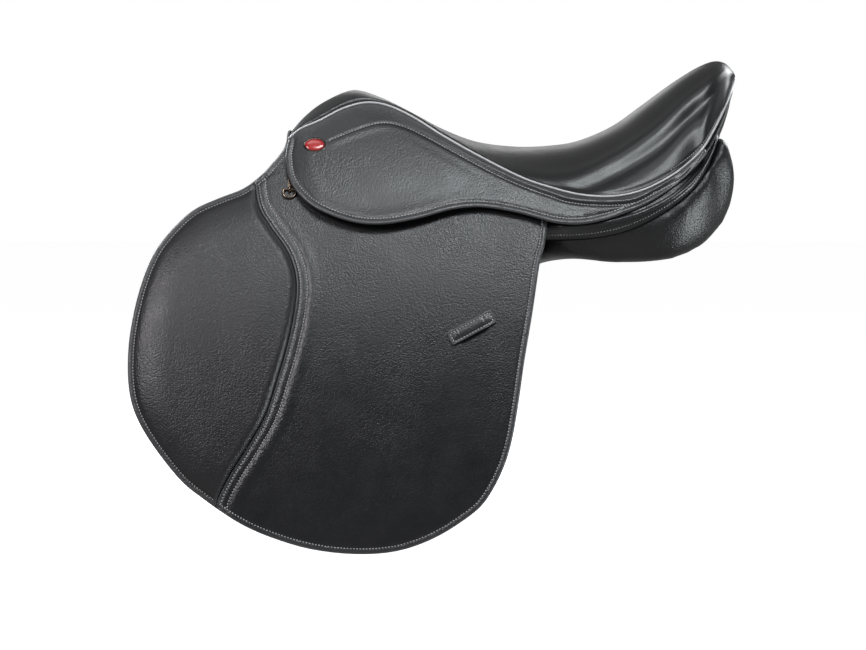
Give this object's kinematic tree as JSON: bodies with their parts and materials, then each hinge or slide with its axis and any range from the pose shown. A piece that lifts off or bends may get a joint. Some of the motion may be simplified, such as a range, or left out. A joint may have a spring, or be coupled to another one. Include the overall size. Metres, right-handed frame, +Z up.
{
  "type": "english saddle",
  "caption": "Black leather jumping saddle with forward flaps, knee pads, deep seat and raised cantle, on a laminated tree with stirrup bars and girth straps.",
  "frame": {"origin": "on the centre line in the channel between the panels, below the front of the seat, where the saddle rests on the back", "axes": "+X from pommel to cantle, +Y to the right (off) side, +Z up"},
  "size_m": [0.6142, 0.4506, 0.489],
  "materials": {
    "seat_leather": "soft smooth calf, satin sheen",
    "skirt_leather": "fine grain, satin sheen",
    "flap_leather": "pebbled grain, low sheen",
    "pad_leather": "soft creased grain over foam",
    "panel_leather": "smooth soft grain, satin sheen",
    "piping_leather": "glossy rolled edge",
    "lining_leather": "plain smooth grain",
    "strap_leather": "firm strap leather",
    "tree_wood": "laminated beech, oiled",
    "tree_steel": "plain sheet steel",
    "bar_steel": "polished forging",
    "dee_steel": "nickel-plated wire",
    "webbing": "woven canvas webbing",
    "foam": "soft cell foam",
    "button_enamel": "red enamel with a dark rim"
  },
  "bodies": {
    "root": {"tree_frame": "tree_wood", "gullet_plate": "tree_steel", "gullet_screws": "tree_steel", "tree_springs": "tree_steel", "spring_rivets": "tree_steel", "stirrup_bar_left": "bar_steel", "stirrup_bar_right": "bar_steel", "stirrup_bar_rivets": "bar_steel", "latch_pins": "bar_steel", "seat_webbing": "webbing", "girth_webbing": "webbing", "seat_foam": "foam", "seat_cover": "seat_leather", "seat_piping": "piping_leather", "cantle_facing": "seat_leather", "pommel_facing": "seat_leather", "skirt_left": "skirt_leather", "skirt_right": "skirt_leather", "skirt_button_left": "button_enamel", "skirt_button_right": "button_enamel", "flap_top_left": "flap_leather", "flap_top_right": "flap_leather", "dee_staple_left": "dee_steel", "dee_staple_right": "dee_steel", "sweat_flap_left": "lining_leather", "sweat_flap_right": "lining_leather", "knee_block_left": "pad_leather", "knee_block_right": "pad_leather", "thigh_block_left": "pad_leather", "thigh_block_right": "pad_leather", "panel_left": "panel_leather", "panel_right": "panel_leather", "panel_welt_left": "piping_leather", "panel_welt_right": "piping_leather", "point_pocket_left": "lining_leather", "point_pocket_right": "lining_leather"},
    "skirt_lobe_left": {"skirt_lobe_left": "skirt_leather"},
    "flap_left": {"flap_left": "flap_leather", "knee_pad_left": "pad_leather", "leather_keeper_left": "flap_leather"},
    "latch_left": {"thumb_latch_left": "bar_steel"},
    "dee_left": {"front_dee_left": "dee_steel"},
    "strap_front_left": {"girth_strap_front_left": "strap_leather"},
    "strap_middle_left": {"girth_strap_middle_left": "strap_leather"},
    "strap_rear_left": {"girth_strap_rear_left": "strap_leather"},
    "guard_left": {"buckle_guard_left": "lining_leather"},
    "skirt_lobe_right": {"skirt_lobe_right": "skirt_leather"},
    "flap_right": {"flap_right": "flap_leather", "knee_pad_right": "pad_leather", "leather_keeper_right": "flap_leather"},
    "latch_right": {"thumb_latch_right": "bar_steel"},
    "dee_right": {"front_dee_right": "dee_steel"},
    "strap_front_right": {"girth_strap_front_right": "strap_leather"},
    "strap_middle_right": {"girth_strap_middle_right": "strap_leather"},
    "strap_rear_right": {"girth_strap_rear_right": "strap_leather"},
    "guard_right": {"buckle_guard_right": "lining_leather"}
  },
  "joints": [
    {"name": "skirt_lift_left", "type": "hinge", "parent": "root", "child": "skirt_lobe_left", "pos_m": [-0.146, -0.10811, 0.084], "axis": [-0.9528, 0.1526, 0.2625], "range_deg": [0, 100]},
    {"name": "flap_lift_left", "type": "hinge", "parent": "root", "child": "flap_left", "pos_m": [-0.08, -0.1421, 0.008], "axis": [-1, 0, 0], "range_deg": [0, 85]},
    {"name": "latch_turn_left", "type": "hinge", "parent": "root", "child": "latch_left", "pos_m": [-0.018, -0.114, 0.046], "axis": [0, -0.8682, 0.4962], "range_deg": [0, 75]},
    {"name": "dee_swing_left", "type": "hinge", "parent": "root", "child": "dee_left", "pos_m": [-0.1435, -0.1223, 0.048], "axis": [0, -0.8668, 0.4987], "range_deg": [-18, 18]},
    {"name": "strap_swing_front_left", "type": "hinge", "parent": "root", "child": "strap_front_left", "pos_m": [-0.055, -0.11242, 0.02], "axis": [0, 1, 0], "range_deg": [-10, 10]},
    {"name": "strap_swing_middle_left", "type": "hinge", "parent": "root", "child": "strap_middle_left", "pos_m": [-0.022, -0.11763, 0.02], "axis": [0, 1, 0], "range_deg": [-10, 10]},
    {"name": "strap_swing_rear_left", "type": "hinge", "parent": "root", "child": "strap_rear_left", "pos_m": [0.011, -0.12284, 0.02], "axis": [0, 1, 0], "range_deg": [-10, 10]},
    {"name": "guard_slide_left", "type": "hinge", "parent": "root", "child": "guard_left", "pos_m": [-0.017, 0.566, -0.344], "axis": [1, 0, 0], "range_deg": [0, 2.9]},
    {"name": "skirt_lift_right", "type": "hinge", "parent": "root", "child": "skirt_lobe_right", "pos_m": [-0.146, 0.10811, 0.084], "axis": [0.9528, 0.1526, -0.2625], "range_deg": [0, 100]},
    {"name": "flap_lift_right", "type": "hinge", "parent": "root", "child": "flap_right", "pos_m": [-0.08, 0.1421, 0.008], "axis": [1, 0, 0], "range_deg": [0, 85]},
    {"name": "latch_turn_right", "type": "hinge", "parent": "root", "child": "latch_right", "pos_m": [-0.018, 0.114, 0.046], "axis": [0, -0.8682, -0.4962], "range_deg": [0, 75]},
    {"name": "dee_swing_right", "type": "hinge", "parent": "root", "child": "dee_right", "pos_m": [-0.1435, 0.1223, 0.048], "axis": [0, 0.8668, 0.4987], "range_deg": [-18, 18]},
    {"name": "strap_swing_front_right", "type": "hinge", "parent": "root", "child": "strap_front_right", "pos_m": [-0.055, 0.11242, 0.02], "axis": [0, 1, 0], "range_deg": [-10, 10]},
    {"name": "strap_swing_middle_right", "type": "hinge", "parent": "root", "child": "strap_middle_right", "pos_m": [-0.022, 0.11763, 0.02], "axis": [0, 1, 0], "range_deg": [-10, 10]},
    {"name": "strap_swing_rear_right", "type": "hinge", "parent": "root", "child": "strap_rear_right", "pos_m": [0.011, 0.12284, 0.02], "axis": [0, 1, 0], "range_deg": [-10, 10]},
    {"name": "guard_slide_right", "type": "hinge", "parent": "root", "child": "guard_right", "pos_m": [-0.017, -0.566, -0.344], "axis": [-1, 0, 0], "range_deg": [0, 2.9]}
  ]
}
